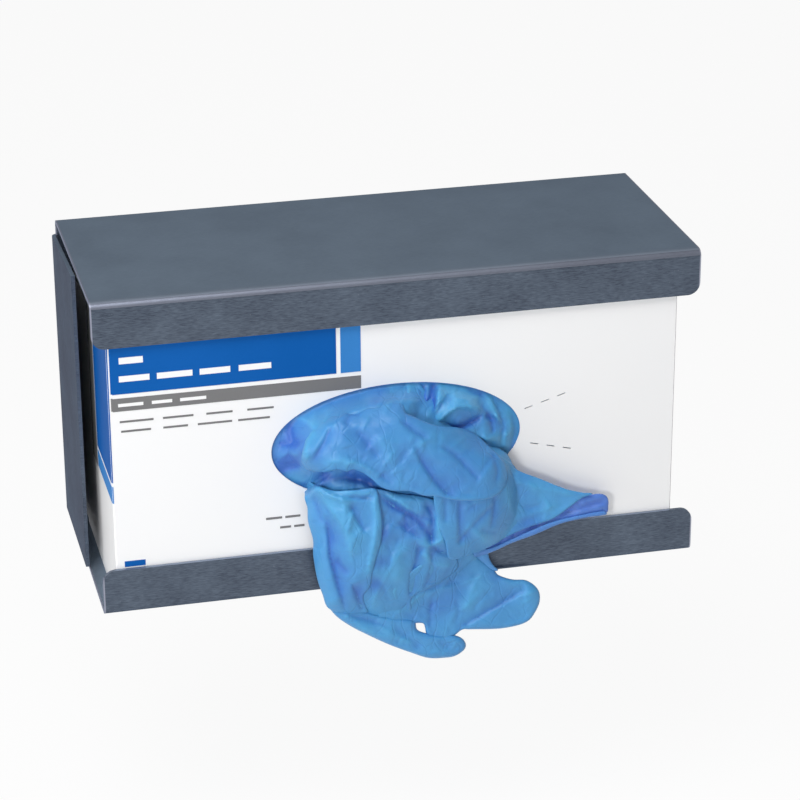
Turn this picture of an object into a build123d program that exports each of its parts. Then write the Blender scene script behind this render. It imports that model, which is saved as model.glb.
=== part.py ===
from build123d import *
from math import exp, pi, sin, sqrt
import os

# A wall-mounted dispenser for disposable gloves: a holder folded from one sheet of metal, a printed
# carton pushed in from the side, and the gloves in it, with one hanging out of the mouth.
# Millimetres. X runs to the right along the wall, Y runs into the wall and Z is up.
# The origin is the middle of the back plate, on the side that lies against the wall.

# Holder
holder_width = 240.0
holder_height = 130.0
holder_depth = 100.0
sheet = 1.5
bend_inside_radius = 1.5
top_lip_height = 18.5
bottom_lip_height = 19.0
lip_corner_radius = 5.0
flange_depth = 61.0
flange_gap = 0.3
flange_top_drop_back = 6.5
flange_top_drop_front = 2.6

# Wall screws
screw_hole_diameter = 5.5
screw_spacing_x = 180.0
screw_spacing_z = 60.0

# Carton
board = 0.5
carton_end_room = 7.0
carton_headroom = 2.5
carton_offset_x = -1.5
carton_seat_gap = 0.3
carton_back_gap = 0.8
fold_corner_gap = 0.1
end_flap_margin = 0.8
end_flap_free_edge = 14.0

# Oval mouth in the carton's front, a little off its middle, and the two dashed tear lines beside it
mouth_width = 100.0
mouth_height = 48.5
mouth_offset_x = -0.7
mouth_offset_z = -2.5
tear_slit_length = 3.6
tear_slit_width = 0.4
tear_slit_pitch = 7.0
tear_slit_count = 3
upper_tear_rise = 7.5
upper_tear_angle = 17
lower_tear_drop = 6.5
lower_tear_gap = 2.5
lower_tear_angle = -14

# Printed fields on the front and left end
ink = 0.12
field_top_margin = 3.0
blue_fields_height = 31.0
dark_field_width = 86.9
light_field_width = 8.0
grey_band_height = 5.3
white_line = 1.7
end_dark_depth = 37.0
end_dark_height = 68.0
end_light_height = 7.0
end_grey_depth = 13.0
end_grey_height = 78.0

# Gloves
soft_gap = 0.3
film = 1.6
stack_front_gap = 9.0
stack_layer = 8.0
stack_side_gap = 3.0
stack_headroom = 6.0
stack_bevel = 2.2
palm_stand_off = 2.4
palm_belly = 11.0
palm_edge_rounding = 0.085
mouth_rise = 0.34
long_fold_height = 3.0
flap_rise = 4.5
neck_depth = 3.0
crease_depth = 1.6
cuff_half_width = 15.0
cuff_fullness = 2.0
side_finger_half_width = 13.0
low_finger_half_width = 8.0
finger_fullness = 3.0
cuff_stand_off = 4.4
cuff_tip_stand_off = 3.2
finger_stand_off = 4.8
crumple_swell = 5.5
crumple_height = 1.3
palm_columns = 32
palm_rows = 40
next_columns = 9
next_rows = 14
limb_rows = 11

# ---- Values that follow from the sizes above ----

bend_outside_radius = bend_inside_radius + sheet
board_fold_radius = bend_inside_radius + fold_corner_gap
inside_front = -holder_depth + sheet
inside_bottom = -holder_height / 2 + sheet
lip_front = -holder_depth

carton_front = inside_front + carton_seat_gap
carton_back = -sheet - carton_back_gap
carton_width = holder_width - 2 * carton_end_room
carton_height = holder_height - 2 * sheet - carton_headroom
carton_depth = carton_back - carton_front
carton_y = (carton_front + carton_back) / 2
carton_z = inside_bottom + carton_height / 2
carton_left = carton_offset_x - carton_width / 2
panel_inside = carton_front + board
mouth_x = carton_offset_x + mouth_offset_x
mouth_z = carton_z + mouth_offset_z

print_left = carton_left + board_fold_radius
dark_field_right = print_left + dark_field_width
light_field_left = dark_field_right + white_line
light_field_right = light_field_left + light_field_width
field_top = carton_z + carton_height / 2 - field_top_margin
blue_fields_bottom = field_top - blue_fields_height
grey_band_top = blue_fields_bottom - white_line
grey_band_bottom = grey_band_top - grey_band_height


def save(shape, name):
    export_step(shape, f"parts/{name}.step")
    print(name, "volume", round(shape.volume, 1), "valid", shape.is_valid)


# ---- Holder ----

def rounded_box_profile(depth, height, radius):
    """A closed outline in the YZ plane, centred on the origin."""
    return Plane.YZ * RectangleRounded(depth, height, radius)


def folded_channel():
    """Back plate, top plate, bottom plate and both lips, as one bent section."""
    middle = Pos(0, -holder_depth / 2, 0)
    outside = rounded_box_profile(holder_depth, holder_height, bend_outside_radius)
    inside = rounded_box_profile(holder_depth - 2 * sheet, holder_height - 2 * sheet, bend_inside_radius)
    opening_height = holder_height - top_lip_height - bottom_lip_height
    opening_z = (bottom_lip_height - top_lip_height) / 2
    opening = Plane.YZ * Pos(-holder_depth / 2, opening_z) * Rectangle(4 * sheet, opening_height)
    section = middle * (outside - inside - opening)
    channel = extrude(section, holder_width / 2, both=True)
    lip_ends = channel.edges().filter_by(Axis.Y).filter_by(lambda e: e.length < 2 * sheet)
    return fillet(lip_ends, lip_corner_radius)


def flange_outline(width, depth, radius):
    """A rectangle from the wall forward, with its two wall-side corners rounded."""
    outline = Pos(0, -depth / 2) * Rectangle(width, depth)
    return fillet(outline.vertices().group_by(Axis.Y)[-1], radius)


def side_flanges():
    """Both side flanges with the strip of back plate between them."""
    span = holder_width + 2 * (flange_gap + sheet)
    outside = flange_outline(span, flange_depth, bend_outside_radius)
    inside = Pos(0, -sheet) * flange_outline(span - 2 * sheet, flange_depth, bend_inside_radius)
    # They start where the bottom bend ends.
    bottom = -holder_height / 2 + bend_outside_radius
    flanges = Pos(0, 0, bottom) * extrude(outside - inside, holder_height - bend_outside_radius)
    # The top edge rises a little towards the front, and leaves a slot under the top plate.
    side = holder_height / 2
    above = Plane.YZ * make_face(
        Polyline(
            (sheet, side + sheet),
            (sheet, side - flange_top_drop_back),
            (0, side - flange_top_drop_back),
            (-flange_depth, side - flange_top_drop_front),
            (-flange_depth - sheet, side + sheet),
            close=True,
        )
    )
    return flanges - extrude(above, span, both=True)


def make_holder():
    holder = folded_channel() + side_flanges()
    for x in (-screw_spacing_x / 2, screw_spacing_x / 2):
        for z in (-screw_spacing_z / 2, screw_spacing_z / 2):
            holder -= Pos(x, 0, z) * Rot(90, 0, 0) * Cylinder(screw_hole_diameter / 2, 4 * sheet)
    return holder


# ---- Carton ----

def front_plate(outline, thickness):
    """An outline given as X and Z, as a plate standing on the carton's front face."""
    return extrude(Plane((0, carton_front, 0), x_dir=(1, 0, 0), z_dir=(0, -1, 0)) * outline, thickness)


def mouth_outline():
    return Pos(mouth_x, mouth_z) * Ellipse(mouth_width / 2, mouth_height / 2)


def tear_line(start_x, start_z, angle):
    """Slits through the front board, in a row from the given point."""
    row = Sketch()
    for index in range(tear_slit_count):
        along = (index + 0.5) * tear_slit_pitch
        row += Pos(start_x, start_z) * Rot(0, 0, angle) * Pos(along, 0) * SlotOverall(
            tear_slit_length, tear_slit_width
        )
    return row


def make_carton():
    tube = rounded_box_profile(carton_depth, carton_height, board_fold_radius)
    hollow = rounded_box_profile(
        carton_depth - 2 * board, carton_height - 2 * board, board_fold_radius - board
    )
    centre = Pos(carton_offset_x, carton_y, carton_z)
    flap_depth = carton_depth - end_flap_margin - end_flap_free_edge
    flap_height = carton_height - 2 * end_flap_margin
    wall_span = carton_width - 2 * board
    body = extrude(tube, wall_span / 2, both=True)
    body -= extrude(hollow, wall_span / 2 - board, both=True)
    # The outer flap of each end is hinged at the front and stops short of the back edge.
    for side in (-1, 1):
        body += Pos(
            side * (wall_span + board) / 2,
            (end_flap_free_edge - end_flap_margin) / -2,
            0,
        ) * Box(board, flap_depth, flap_height)
    body = centre * body
    beside = mouth_x + mouth_width / 2
    tears = tear_line(beside, mouth_z + upper_tear_rise, upper_tear_angle)
    tears += tear_line(beside + lower_tear_gap, mouth_z - lower_tear_drop, lower_tear_angle)
    for cut in (mouth_outline(), tears):
        body -= front_plate(cut, -2 * board)
    return body


# ---- Print ----

def field(left, right, bottom, top):
    width = right - left
    height = top - bottom
    return Pos(left + width / 2, bottom + height / 2) * Rectangle(width, height)


def end_field(from_front, depth, bottom, top):
    """A printed field on the left end, from a distance behind the carton's front edge."""
    outline = Plane.YZ.offset(carton_left) * Pos(
        carton_front + from_front + depth / 2, (bottom + top) / 2
    ) * Rectangle(depth, top - bottom)
    return extrude(outline, -ink)


def make_prints():
    """The printed fields by colour: dark blue, light blue and grey."""
    fields = (
        field(print_left, dark_field_right, blue_fields_bottom, field_top),
        field(light_field_left, light_field_right, blue_fields_bottom, field_top),
        field(print_left, light_field_right, grey_band_bottom, grey_band_top),
    )
    dark, light, grey = [front_plate(outline - mouth_outline(), ink) for outline in fields]
    edge = board_fold_radius
    end_dark_bottom = field_top - end_dark_height
    end_light_top = end_dark_bottom - white_line
    end_grey_front = edge + end_dark_depth + white_line
    dark += end_field(edge, end_dark_depth, end_dark_bottom, field_top)
    light += end_field(edge, end_dark_depth, end_light_top - end_light_height, end_light_top)
    grey += end_field(end_grey_front, end_grey_depth, field_top - end_grey_height, field_top)
    return dark, light, grey


# ---- Gloves ----

def make_glove_stack():
    """Folded gloves in flat layers behind the front panel, each with its edges bevelled all round."""
    width = carton_width - 2 * (board + stack_side_gap)
    height = carton_height - board - soft_gap - stack_headroom
    front = panel_inside + stack_front_gap
    back = carton_back - board - soft_gap
    count = int((back - front) / stack_layer)
    pitch = (back - front) / count
    bottom = inside_bottom + board + soft_gap
    stack = None
    for index in range(count):
        middle = Pos(carton_offset_x, front + (index + 0.5) * pitch, bottom + height / 2)
        layer = middle * Box(width, pitch, height)
        layer = chamfer(layer.edges().filter_by(Axis.Y, reverse=True), stack_bevel)
        stack = layer if stack is None else stack + layer
    return stack


def smooth_step(start, end, value):
    share = min(max((value - start) / (end - start), 0), 1)
    return share * share * (3 - 2 * share)


def ridge(distance, width):
    """The height of a fold beside its crest, from 1 on the crest to 0 well away from it."""
    return exp(-((distance / width) ** 2))


def film_solid(lattice):
    """A closed skin over lattice points, each with a front and a back point.

    lattice maps (column, row) to such a pair. Every four neighbours make a cell, with two triangles
    in front and two behind, and an edge that only one cell has is closed by two more.
    """
    cells = [
        (i, j) for i, j in lattice
        if (i + 1, j) in lattice and (i, j + 1) in lattice and (i + 1, j + 1) in lattice
    ]
    triangles = []
    rims = set()
    for i, j in cells:
        ring = [(i, j), (i, j + 1), (i + 1, j + 1), (i + 1, j)]
        for a, b, c in ((0, 1, 2), (0, 2, 3)):
            triangles.append([lattice[ring[k]][0] for k in (a, b, c)])
            triangles.append([lattice[ring[k]][1] for k in (c, b, a)])
        for k in range(4):
            rim = (ring[k], ring[(k + 1) % 4])
            if rim[::-1] in rims:
                rims.remove(rim[::-1])
            else:
                rims.add(rim)
    for a, b in sorted(rims):
        triangles.append([lattice[a][0], lattice[a][1], lattice[b][1]])
        triangles.append([lattice[a][0], lattice[b][1], lattice[b][0]])
    skin = Shell([Face(Wire.make_polygon(corners)) for corners in triangles])
    return Solid(skin)


def at(across, up, y=0.0):
    """A place in front of the mouth, in shares of its half width and half height from its middle."""
    return Vector(mouth_x + across * mouth_width / 2, y, mouth_z + up * mouth_height / 2)


def mouth_shares(place):
    """The shares of the mouth's half width and half height at a place, from the mouth's middle."""
    return (place.X - mouth_x) / (mouth_width / 2), (place.Z - mouth_z) / (mouth_height / 2)


def edge_line(*shares):
    return Spline(*[at(across, up) for across, up in shares])


def between(start, end, share):
    return start + (end - start) * share


def palm_lattice():
    """The body of the hanging glove: out of the mouth, forward over its edge and down past the lip."""
    left = edge_line(
        (-0.66, 1.06), (-0.81, 0.57), (-1.02, 0.03), (-0.95, -0.46), (-0.80, -0.83),
        (-0.75, -1.41), (-0.71, -2.11), (-0.60, -2.77),
    )
    right = edge_line(
        (0.22, 1.06), (0.44, 0.69), (0.68, 0.24), (0.88, -0.34), (0.92, -0.92), (0.80, -1.58),
        (0.70, -1.99), (0.56, -2.65), (0.32, -3.39),
    )
    tucked = panel_inside + 0.6 * stack_front_gap
    hanging = lip_front - soft_gap - film - palm_stand_off
    lattice = {}
    for j in range(palm_rows + 1):
        v = j / palm_rows
        start = left @ v
        end = right @ v
        for i in range(palm_columns + 1):
            u = i / palm_columns
            place = between(start, end, u)
            across, up = mouth_shares(place)
            # The film comes forward down its length, and sooner towards the middle of the mouth.
            out = max(smooth_step(0, 0.34, v), smooth_step(0, mouth_rise, 1 - sqrt(across**2 + up**2)))
            rounding = 1 - exp(-min(u, 1 - u) / palm_edge_rounding)
            belly = palm_belly * rounding * (1 - 0.45 * smooth_step(0.4, 1, v))
            away_from_edge = smooth_step(0, 0.1, u) * smooth_step(1, 0.9, u)
            y = tucked + (hanging - belly - tucked) * out
            y -= palm_folds(place) * out * away_from_edge
            lattice[i, j] = (Vector(place.X, y, place.Z), Vector(place.X, y + film, place.Z))
    return lattice


def palm_folds(place):
    """How far the film stands out at a place on the palm, seen from the front."""
    across, up = mouth_shares(place)
    height = 0
    # Folds that run down: place at the mouth, drift by the hem, share of the height, half-width
    down = smooth_step(-0.25, -3.1, up)
    below_mouth = smooth_step(-0.42, -1.08, up)
    for top, drift, size, width in (
        (-0.76, 0.16, 0.8, 0.06), (-0.55, -0.02, 1.1, 0.08), (-0.24, 0.1, 0.9, 0.07),
        (0.12, 0.04, 1.0, 0.09), (0.44, -0.28, 0.9, 0.07),
    ):
        crest = top + drift * down
        height += long_fold_height * size * below_mouth * ridge(across - crest, width)
    # The wide rounded flap that lies over them, with a crease across it
    flap_edge = -0.15 - 0.91 * smooth_step(-0.64, 0.56, across) + 0.15 * smooth_step(0.6, 0.8, across)
    on_flap = smooth_step(0, 0.14, up - flap_edge) * smooth_step(-0.6, -0.3, across)
    height += flap_rise * on_flap * smooth_step(0.9, 0.4, up)
    height -= crease_depth * on_flap * ridge(across + 0.3 * up - 0.11, 0.05)
    height -= crease_depth * on_flap * ridge(across + 0.5 * up + 0.35, 0.05)
    # The neck where the film is drawn in below the left of the mouth
    height -= neck_depth * ridge(up + 0.5 + 0.2 * across, 0.12) * smooth_step(-0.1, -0.46, across)
    return height


def grow_limb(lattice, roots, step, route, half_width, taper, fullness, tip):
    """Adds a finger or cuff to the lattice, out from a run of its edge points and along a route.

    roots are the run's keys in order, step is the key's change from one row to the next,
    taper is the share of the half width at even steps along the route, fullness is how far the
    limb swells to each side of its middle plane, and tip is the share of its length that rounds it.
    """
    pairs = [lattice[key] for key in roots]
    first = between(*pairs[0], 0.5)
    last = between(*pairs[-1], 0.5)
    middle = between(first, last, 0.5)
    line = Spline(middle, *route)
    sides = Spline(*[(k / (len(taper) - 1), share) for k, share in enumerate(taper)])
    across = last - first
    for row in range(1, limb_rows + 1):
        t = 1 - (1 - row / limb_rows * 0.985) ** 1.3
        centre = line @ t
        heading = line % t
        turned = Vector(heading.Z, 0, -heading.X).normalized()
        across = turned if turned.dot(across) > 0 else -turned
        rounding = sqrt(1 - max((t - 1 + tip) / tip, 0) ** 2)
        own = smooth_step(0, 0.4, t)
        half = half_width * (sides @ t).Y * rounding
        for index, key in enumerate(roots):
            s = 2 * index / (len(roots) - 1) - 1
            from_root = between(*pairs[index], 0.5) - middle
            place = centre + across * (s * half) * own + from_root * (1 - own)
            round_side = sqrt(max(1 - s * s, 0))
            swell = fullness * round_side * rounding * smooth_step(0, 0.5, t) + film / 2
            crease = film / 2 * sin(3 * pi * (s + 0.35 * t)) * rounding * own * round_side ** 2
            lattice[key[0] + step[0] * row, key[1] + step[1] * row] = (
                place - Vector(0, swell + crease, 0),
                place + Vector(0, swell, 0),
            )


def make_pulled_glove():
    lattice = palm_lattice()
    resting = lip_front - soft_gap
    finger_y = resting - finger_stand_off
    cuff_route = [
        at(1.14, -1.25, resting - cuff_stand_off),
        at(1.44, -1.43, resting - (cuff_stand_off + cuff_tip_stand_off) / 2),
        at(1.72, -1.49, resting - cuff_tip_stand_off),
    ]
    side_route = [at(0.80, -2.85, finger_y), at(1.14, -2.94, finger_y)]
    low_route = [at(-0.30, -3.14, finger_y), at(0.04, -3.49, finger_y), at(0.50, -3.66, finger_y)]
    cuff_roots = [(palm_columns, j) for j in range(round(0.4 * palm_rows), round(0.67 * palm_rows) + 1)]
    side_roots = [(palm_columns, j) for j in range(round(0.77 * palm_rows), palm_rows + 1)]
    low_roots = [(i, palm_rows) for i in range(round(0.3 * palm_columns) + 1)]
    right, down = (1, 0), (0, 1)
    grow_limb(
        lattice, cuff_roots, right, cuff_route, cuff_half_width, (1, 0.73, 0.47, 0.3), cuff_fullness, 0.1
    )
    grow_limb(
        lattice, side_roots, right, side_route, side_finger_half_width, (1, 0.96, 0.88), finger_fullness,
        0.35,
    )
    grow_limb(
        lattice, low_roots, down, low_route, low_finger_half_width, (1, 1, 0.95, 0.78), finger_fullness,
        0.35,
    )
    return film_solid(lattice)


def make_next_glove():
    """The glove that follows, drawn up into the right of the mouth in a crumple."""
    left = edge_line((0.31, 0.92), (0.50, 0.63), (0.72, 0.22), (0.87, -0.38))
    right = edge_line((0.38, 0.91), (0.78, 0.55), (0.97, 0.07), (0.90, -0.36))
    front = carton_front + 2 * board
    deep = panel_inside + stack_front_gap - soft_gap
    lattice = {}
    for j in range(next_rows + 1):
        v = j / next_rows
        start = left @ v
        end = right @ v
        for i in range(next_columns + 1):
            u = i / next_columns
            place = between(start, end, u)
            swell = crumple_swell * sin(pi * min(u + 0.15, 1)) ** 0.5 * sin(pi * v) ** 0.5
            crumple = crumple_height * sin(9 * u + 4 * v) * sin(7 * v - 3 * u)
            lattice[i, j] = (
                Vector(place.X, front - swell + crumple, place.Z),
                Vector(place.X, deep, place.Z),
            )
    return film_solid(lattice)


os.makedirs("parts", exist_ok=True)
print_dark_blue, print_light_blue, print_grey = make_prints()
save(make_holder(), "holder")
save(make_carton(), "carton")
save(print_dark_blue, "print_dark_blue")
save(print_light_blue, "print_light_blue")
save(print_grey, "print_grey")
save(make_glove_stack(), "glove_stack")
save(make_next_glove(), "next_glove")
save(make_pulled_glove(), "pulled_glove")
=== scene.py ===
import bpy
import numpy as np
from bpy.props import FloatProperty, FloatVectorProperty, IntProperty, PointerProperty
from mathutils import Matrix, Vector, geometry


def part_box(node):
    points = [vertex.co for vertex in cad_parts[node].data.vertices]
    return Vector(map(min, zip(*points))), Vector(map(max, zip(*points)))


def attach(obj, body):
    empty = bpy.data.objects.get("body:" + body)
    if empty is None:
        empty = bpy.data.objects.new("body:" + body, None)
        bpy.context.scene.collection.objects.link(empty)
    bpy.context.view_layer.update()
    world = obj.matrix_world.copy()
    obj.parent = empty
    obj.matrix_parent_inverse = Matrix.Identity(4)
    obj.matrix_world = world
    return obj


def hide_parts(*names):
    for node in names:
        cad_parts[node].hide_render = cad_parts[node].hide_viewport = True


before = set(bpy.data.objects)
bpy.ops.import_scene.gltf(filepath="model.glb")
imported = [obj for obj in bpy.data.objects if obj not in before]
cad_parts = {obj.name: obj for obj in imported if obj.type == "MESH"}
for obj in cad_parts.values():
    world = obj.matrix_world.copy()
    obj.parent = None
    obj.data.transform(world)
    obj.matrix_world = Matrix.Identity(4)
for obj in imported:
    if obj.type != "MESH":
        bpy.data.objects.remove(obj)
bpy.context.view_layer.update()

bl_info = {
    "name": "Disposable glove dispenser",
    "version": (1, 0, 0),
    "blender": (4, 5, 0),
    "location": "View3D > Sidebar > Dispenser",
    "description": "Dresses a wall-mounted glove dispenser: steel holder, printed carton and nitrile gloves",
    "category": "Object",
}

MM = 0.001


def linear(hex_colour):
    """An sRGB colour written as hex, as the linear RGB that the shaders work in."""
    values = [int(hex_colour[k:k + 2], 16) / 255 for k in (1, 3, 5)]
    return tuple(v / 12.92 if v <= 0.04045 else ((v + 0.055) / 1.055) ** 2.4 for v in values)


def colour(name, description, hex_colour):
    return FloatVectorProperty(
        name=name, description=description, default=linear(hex_colour), subtype="COLOR", size=3,
        min=0.0, max=1.0,
    )


def length(name, description, millimetres):
    return FloatProperty(
        name=name, description=description, default=millimetres * MM, unit="LENGTH", min=0.0, precision=5
    )


def power(name, description, watts):
    return FloatProperty(name=name, description=description, default=watts, unit="POWER", min=0.0)


# ---- Settings ----

class HolderSettings(bpy.types.PropertyGroup):
    steel: colour("Steel", "Colour of the blackened sheet", "#98A9BB")
    # This colour is also the painted shade on the lips and flanges.
    steel_dark: colour("Steel, dark", "Colour in the brush marks", "#2A2D3C")
    # This colour also gives the painted highlight on the upper front bend.
    bare_edge_and_highlight: colour("Cut edge", "Colour of the bare, deburred edges of the sheet", "#A3A6B6")
    grain_width: length("Grain width", "Width of one brush mark", 0.24)
    grain_length: length("Grain length", "Length of one brush mark", 2.4)


class CartonSettings(bpy.types.PropertyGroup):
    board: colour("Board", "Colour of the coated board", "#EBEBEB")
    dark_ink: colour("Dark blue ink", "Colour of the large printed field", "#0055A2")
    light_ink: colour("Light blue ink", "Colour of the narrow printed field", "#357CC0")
    grey_ink: colour("Grey ink", "Colour of the printed band", "#737374")
    line_relief: length("Line relief", "How far a printed bar stands on the board", 0.12)


class GloveSettings(bpy.types.PropertyGroup):
    film: colour("Nitrile", "Colour of the film on its crests", "#4A99CC")
    # Painted shade: this colour is mixed into the film in its furrows and hollows.
    film_in_shade: colour("Nitrile, in folds", "Colour where several films lie over each other", "#3366B8")
    film_inside: colour("Nitrile, inside", "Colour of the inside of the cuff", "#5068C4")
    mesh_step: length("Mesh step", "Distance between the points of a modelled film", 0.95)
    crumple_size: length("Crumple size", "Distance between the crests of the crumples", 10.0)
    crumple_height: length("Crumple height", "Height of the crumples", 1.3)
    wrinkles: FloatProperty(
        name="Wrinkles", description="Fine wrinkles on every 10 square centimetres", default=14.0, min=0.0
    )
    stack_layers: IntProperty(
        name="Folded layers", description="Folded gloves that lie in the carton", default=22, min=2, max=60
    )


class StageSettings(bpy.types.PropertyGroup):
    floor: colour("Floor", "Colour of the floor", "#F2F2F2")
    floor_depth: length("Floor depth", "Distance of the floor below the origin", 190.0)
    key_power: power("Key", "Power of the large lamp above", 9.0)
    fill_power: power("Fill", "Power of the lamp beside the eye", 8.5)
    side_power: power("Side", "Power of the lamp on the left", 3.0)
    world_strength: FloatProperty(
        name="World", description="Strength of the even light", default=0.28, min=0.0
    )


# ---- Nodes ----

def add_node(tree, kind, inputs=(), **settings):
    """Adds one node. inputs gives (socket name or number, value or socket to link) pairs."""
    node = tree.nodes.new(kind)
    for key, value in settings.items():
        setattr(node, key, value)
    for key, value in inputs:
        if isinstance(value, bpy.types.NodeSocket):
            tree.links.new(value, node.inputs[key])
        else:
            node.inputs[key].default_value = value
    return node


def math(tree, operation, first, second=0.0, clamp=False):
    return add_node(
        tree, "ShaderNodeMath", operation=operation, use_clamp=clamp, inputs=((0, first), (1, second))
    ).outputs[0]


def scaled(tree, value, factor, plus=0.0, clamp=False):
    """A value times a factor, with another value added."""
    return add_node(
        tree, "ShaderNodeMath", operation="MULTIPLY_ADD", use_clamp=clamp,
        inputs=((0, value), (1, factor), (2, plus)),
    ).outputs[0]


def vector_math(tree, operation, first, second):
    return add_node(
        tree, "ShaderNodeVectorMath", operation=operation, inputs=((0, first), (1, second))
    ).outputs[0]


def combined(tree, **parts):
    """A vector from its X, Y and Z."""
    return add_node(tree, "ShaderNodeCombineXYZ", inputs=tuple(parts.items())).outputs[0]


def separated(tree, vector):
    return add_node(tree, "ShaderNodeSeparateXYZ", inputs=(("Vector", vector),)).outputs


def rgba(colour_value):
    return (*colour_value, 1.0)


def mix_colour(tree, factor, first, second):
    return add_node(
        tree, "ShaderNodeMix", data_type="RGBA", inputs=((0, factor), (6, first), (7, second))
    ).outputs[2]


def noise(tree, vector, scale, detail=2.0, roughness=0.5):
    return add_node(
        tree, "ShaderNodeTexNoise",
        inputs=(("Vector", vector), ("Scale", scale), ("Detail", detail), ("Roughness", roughness)),
    ).outputs


def stretched(tree, vector, scale):
    return add_node(tree, "ShaderNodeMapping", inputs=(("Vector", vector), ("Scale", scale))).outputs[0]


def bump(tree, height, strength, millimetres, *below):
    """A normal from a height. below links the normal of a finer bump."""
    inputs = (("Height", height), ("Strength", strength), ("Distance", millimetres * MM), *below)
    return add_node(tree, "ShaderNodeBump", inputs=inputs).outputs[0]


def new_material(name):
    material = bpy.data.materials.new(name)
    material.use_nodes = True
    tree = material.node_tree
    tree.nodes.clear()
    return material, tree


def finish_material(tree, **surface):
    """Adds the Principled shader. surface gives its sockets, with _ where they have a space."""
    sockets = tuple((key.replace("_", " "), value) for key, value in surface.items())
    shader = add_node(tree, "ShaderNodeBsdfPrincipled", inputs=sockets).outputs[0]
    add_node(tree, "ShaderNodeOutputMaterial", inputs=(("Surface", shader),))


# ---- Materials ----
# Noise scales are cells to a metre: 40 gives clouds of 25 mm, and 900 specks of about 1 mm.

def blackened_steel(settings):
    """Cold-rolled steel sheet, brushed along its length and blackened: a satin slate blue.

    The brush marks show as fine level streaks, and the deburred cut edges stay bare and bright.
    """
    material, tree = new_material("blackened_brushed_steel")
    coordinates = add_node(tree, "ShaderNodeTexCoord").outputs
    on_object = coordinates["Object"]
    place = separated(tree, on_object)
    facing = separated(tree, coordinates["Normal"])
    across = 1 / settings.grain_width
    along = 1 / settings.grain_length
    level = noise(tree, stretched(tree, on_object, (along, across, across)), 1.0, 3.0, 0.6)[0]
    # On the side flanges the marks run up and down, because the sheet was folded there.
    upright = noise(tree, stretched(tree, on_object, (across, across, along)), 1.0, 3.0, 0.6)[0]
    on_side = math(tree, "GREATER_THAN", math(tree, "ABSOLUTE", facing[0]), 0.8)
    grain = add_node(
        tree, "ShaderNodeMix", data_type="FLOAT", inputs=((0, on_side), (2, level), (3, upright))
    ).outputs[0]
    # The blackening is a little uneven, in clouds, with specks.
    clouds = noise(tree, on_object, 40.0, 3.0, 0.6)[0]
    speck_limit, speck_share = 0.74, 0.25
    specks = math(tree, "GREATER_THAN", noise(tree, on_object, 900.0, 1.0, 0.5)[0], speck_limit)
    # The lips and flanges get painted shade: a darker colour on faces turned forward and sideways. The lips were
    # brushed harder, so their grain stands out.
    contrast, more_on_lip = 0.28, 0.32
    on_lip = math(tree, "LESS_THAN", facing[1], -0.5)
    tone = math(
        tree, "MULTIPLY", math(tree, "SUBTRACT", grain, 0.5), scaled(tree, on_lip, more_on_lip, contrast)
    )
    # Painted shade: the lip and flange shares darken the forward-facing lips and the side flanges.
    cloud_share, lip_painted_shade, flange_painted_shade = 0.3, 0.59, 0.75
    tone = scaled(tree, clouds, cloud_share, tone)
    tone = scaled(tree, on_lip, lip_painted_shade, tone)
    tone = scaled(tree, on_side, flange_painted_shade, tone, clamp=True)
    sheet = mix_colour(tree, tone, rgba(settings.steel), rgba(settings.steel_dark))
    sheet = mix_colour(
        tree, math(tree, "MULTIPLY", specks, speck_share), sheet, rgba(linear("#8F98A4"))
    )
    # Painted highlight: a pale band on the outside of the upper front bend, in the colour of the bare edges.
    band_back, band_depth, bend_highlight_share = -93.5 * MM, 5.5 * MM, 0.42
    to_bend = math(
        tree, "MULTIPLY", math(tree, "SUBTRACT", place[1], band_back), -1 / band_depth, clamp=True
    )
    turned_up = math(tree, "GREATER_THAN", facing[2], 0.25)
    painted_bend_highlight = math(tree, "MULTIPLY", math(tree, "MULTIPLY", to_bend, to_bend), turned_up)
    sheet = mix_colour(tree, math(tree, "MULTIPLY", painted_bend_highlight, bend_highlight_share), sheet, rgba(settings.bare_edge_and_highlight))
    # The cut ends of the folded channel are bare.
    _, holder_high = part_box("holder")
    sheet_thickness, edge_width, edge_share = 1.5 * MM, 0.8 * MM, 0.85
    flange_inside = holder_high[0] - sheet_thickness
    from_middle = math(tree, "ABSOLUTE", place[0])
    outside = math(tree, "GREATER_THAN", from_middle, flange_inside - edge_width)
    not_flange = math(tree, "LESS_THAN", from_middle, flange_inside)
    bare = math(tree, "MULTIPLY", math(tree, "MULTIPLY", outside, not_flange), edge_share)
    finish_material(
        tree, Base_Color=mix_colour(tree, bare, sheet, rgba(settings.bare_edge_and_highlight)),
        Roughness=scaled(tree, grain, 0.16, 0.34), Normal=bump(tree, grain, 0.2, 0.03),
        Metallic=0.75, Specular_Tint=rgba(linear("#8C9CB4")),
    )
    return material


def coated_board(settings):
    """Folding box board with a clay coat: white and faintly glossy, with a soft fibre relief."""
    material, tree = new_material("coated_carton_board")
    on_object = add_node(tree, "ShaderNodeTexCoord").outputs["Object"]
    fibres = noise(tree, stretched(tree, on_object, (300.0, 300.0, 900.0)), 1.0, 4.0, 0.6)[0]
    clouds = noise(tree, on_object, 22.0)[0]
    finish_material(
        tree, Base_Color=mix_colour(
            tree, math(tree, "MULTIPLY", clouds, 0.35), rgba(settings.board), rgba(linear("#E6E7EB"))
        ),
        Roughness=scaled(tree, fibres, 0.12, 0.38), Normal=bump(tree, fibres, 0.25, 0.03),
        IOR=1.46, Coat_Weight=0.15, Coat_Roughness=0.35,
    )
    return material


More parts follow.
